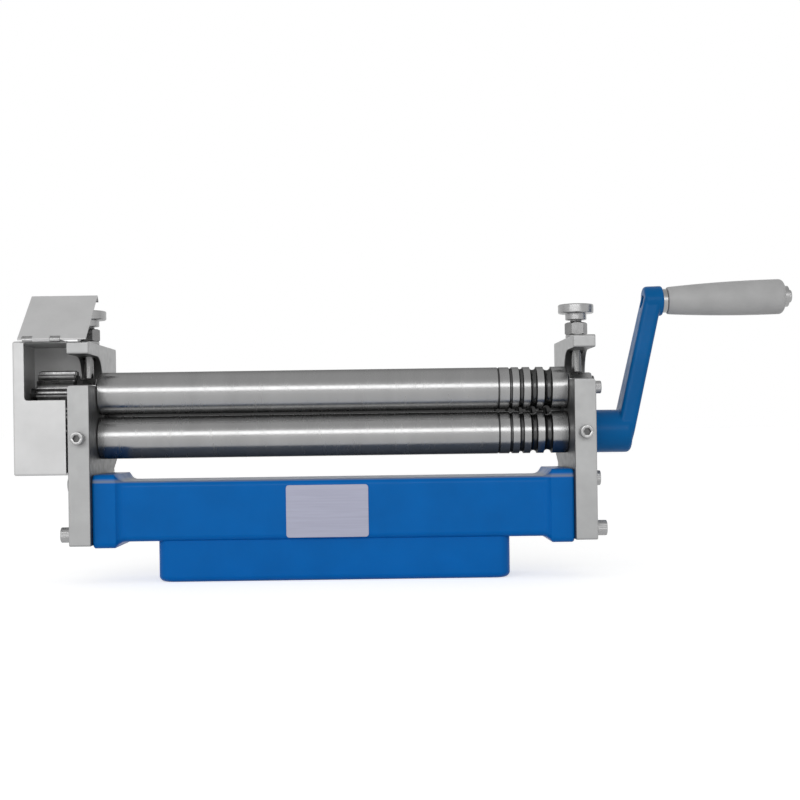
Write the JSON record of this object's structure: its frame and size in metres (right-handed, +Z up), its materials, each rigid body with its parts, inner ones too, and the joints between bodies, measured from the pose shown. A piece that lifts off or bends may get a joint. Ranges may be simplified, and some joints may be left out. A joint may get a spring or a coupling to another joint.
{
  "type": "slip roll machine",
  "caption": "Bench slip roll for thin sheet metal: two geared front rolls and a rear bending roll between side plates on a cast base, turned by a hand crank.",
  "frame": {"origin": "centre of the underside of the base casting, midway between the side plates and under the axes of the two front rolls", "axes": "+X along the rolls towards the crank, +Y from the operator's side to the back, +Z up"},
  "size_m": [0.5089, 0.1155, 0.1934],
  "materials": {
    "casting_paint": "smooth blue gloss enamel over cast iron",
    "crank_paint": "blue gloss enamel",
    "roll_steel": "ground and polished round the axis",
    "plate_steel": "satin grey plated steel",
    "guard_steel": "satin light grey sheet",
    "zinc_hardware": "bright zinc plating",
    "gear_steel": "dark oiled steel",
    "bush_bronze": "plain sintered bronze",
    "grip_plastic": "matte light grey moulded grip"
  },
  "bodies": {
    "frame": {"base_casting": "casting_paint", "left_side_plate": "plate_steel", "right_side_plate": "plate_steel", "left_front_plate_washer": "zinc_hardware", "left_front_plate_screw": "zinc_hardware", "left_rear_plate_washer": "zinc_hardware", "left_rear_plate_screw": "zinc_hardware", "left_upper_plate_washer": "zinc_hardware", "left_upper_plate_screw": "zinc_hardware", "left_lower_bush": "bush_bronze", "left_bush_screw": "gear_steel", "right_front_plate_washer": "zinc_hardware", "right_front_plate_screw": "zinc_hardware", "right_rear_plate_washer": "zinc_hardware", "right_rear_plate_screw": "zinc_hardware", "right_upper_plate_washer": "zinc_hardware", "right_upper_plate_screw": "zinc_hardware", "right_lower_bush": "bush_bronze", "right_bush_screw": "gear_steel", "left_lock_nut": "zinc_hardware", "left_screw_washer": "zinc_hardware", "right_lock_nut": "zinc_hardware", "right_screw_washer": "zinc_hardware", "left_rear_lock_nut": "zinc_hardware", "left_rear_screw_washer": "zinc_hardware", "right_rear_lock_nut": "zinc_hardware", "right_rear_screw_washer": "zinc_hardware", "gear_guard": "guard_steel", "guard_lower_screw": "zinc_hardware", "guard_upper_screw": "zinc_hardware", "guard_hinge_leaf": "zinc_hardware", "guard_hinge_pin": "zinc_hardware"},
    "upper_carriage": {"left_upper_bearing": "zinc_hardware", "right_upper_bearing": "zinc_hardware"},
    "upper_roll_shaft": {"upper_roll": "roll_steel", "upper_gear": "gear_steel", "upper_gear_key": "zinc_hardware", "upper_gear_washer": "zinc_hardware", "upper_gear_screw": "zinc_hardware", "upper_roll_end_washer": "zinc_hardware", "upper_roll_end_screw": "zinc_hardware"},
    "left_screw": {"left_adjusting_screw": "zinc_hardware"},
    "right_screw": {"right_adjusting_screw": "zinc_hardware"},
    "crankshaft": {"lower_roll": "roll_steel", "lower_gear": "gear_steel", "lower_gear_key": "zinc_hardware", "lower_gear_washer": "zinc_hardware", "lower_gear_screw": "zinc_hardware", "crank_arm": "crank_paint", "crank_grub_screw": "gear_steel", "grip_stud": "zinc_hardware", "grip_washer": "zinc_hardware", "grip_screw": "zinc_hardware"},
    "grip": {"crank_grip": "grip_plastic"},
    "rear_carriage": {"left_rear_bearing": "zinc_hardware", "right_rear_bearing": "zinc_hardware"},
    "rear_roll_shaft": {"rear_roll": "roll_steel"},
    "left_rear_screw": {"left_rear_adjusting_screw": "zinc_hardware"},
    "right_rear_screw": {"right_rear_adjusting_screw": "zinc_hardware"},
    "flap": {"guard_flap": "guard_steel"}
  },
  "joints": [
    {"name": "crank_spin", "type": "hinge", "parent": "frame", "child": "crankshaft", "pos_m": [0, 0, 0.094], "axis": [1, 0, 0], "continuous": true},
    {"name": "upper_lift", "type": "slide", "parent": "frame", "child": "upper_carriage", "axis": [0, 0, 1], "range_m": [-0.0008, 0.0008]},
    {"name": "upper_roll_spin", "type": "hinge", "parent": "upper_carriage", "child": "upper_roll_shaft", "pos_m": [0, 0, 0.1233], "axis": [1, 0, 0], "continuous": true},
    {"name": "left_screw_turn", "type": "hinge", "parent": "upper_carriage", "child": "left_screw", "pos_m": [-0.16205, 0, 0.17], "axis": [0, 0, 1], "range_deg": [-231, 231]},
    {"name": "right_screw_turn", "type": "hinge", "parent": "upper_carriage", "child": "right_screw", "pos_m": [0.16205, 0, 0.17], "axis": [0, 0, 1], "range_deg": [-231, 231]},
    {"name": "grip_spin", "type": "hinge", "parent": "crankshaft", "child": "grip", "pos_m": [0.2192, 0, 0.18], "axis": [0.9997, 0, 0.0227], "continuous": true},
    {"name": "rear_lift", "type": "slide", "parent": "frame", "child": "rear_carriage", "axis": [0, -0.5, 0.866], "range_m": [-0.005, 0.01]},
    {"name": "rear_roll_spin", "type": "hinge", "parent": "rear_carriage", "child": "rear_roll_shaft", "pos_m": [0, 0.0305, 0.09883], "axis": [1, 0, 0], "continuous": true},
    {"name": "left_rear_screw_turn", "type": "hinge", "parent": "rear_carriage", "child": "left_rear_screw", "pos_m": [-0.16205, 0.033, 0.0945], "axis": [0, -0.5, 0.866], "range_deg": [-1441, 2881]},
    {"name": "right_rear_screw_turn", "type": "hinge", "parent": "rear_carriage", "child": "right_rear_screw", "pos_m": [0.16205, 0.033, 0.0945], "axis": [0, -0.5, 0.866], "range_deg": [-1441, 2881]},
    {"name": "flap_hinge", "type": "hinge", "parent": "frame", "child": "flap", "pos_m": [-0.184, -0.0384, 0.1574], "axis": [1, 0, 0], "range_deg": [0, 231.9]}
  ],
  "couplings": [
    {"joint": "upper_roll_spin", "follows": "crank_spin", "ratio": -1},
    {"joint": "left_screw_turn", "follows": "upper_lift", "rad_per_m": 5026.5},
    {"joint": "right_screw_turn", "follows": "upper_lift", "rad_per_m": 5026.5},
    {"joint": "left_rear_screw_turn", "follows": "rear_lift", "rad_per_m": 5026.5},
    {"joint": "right_rear_screw_turn", "follows": "rear_lift", "rad_per_m": 5026.5}
  ]
}
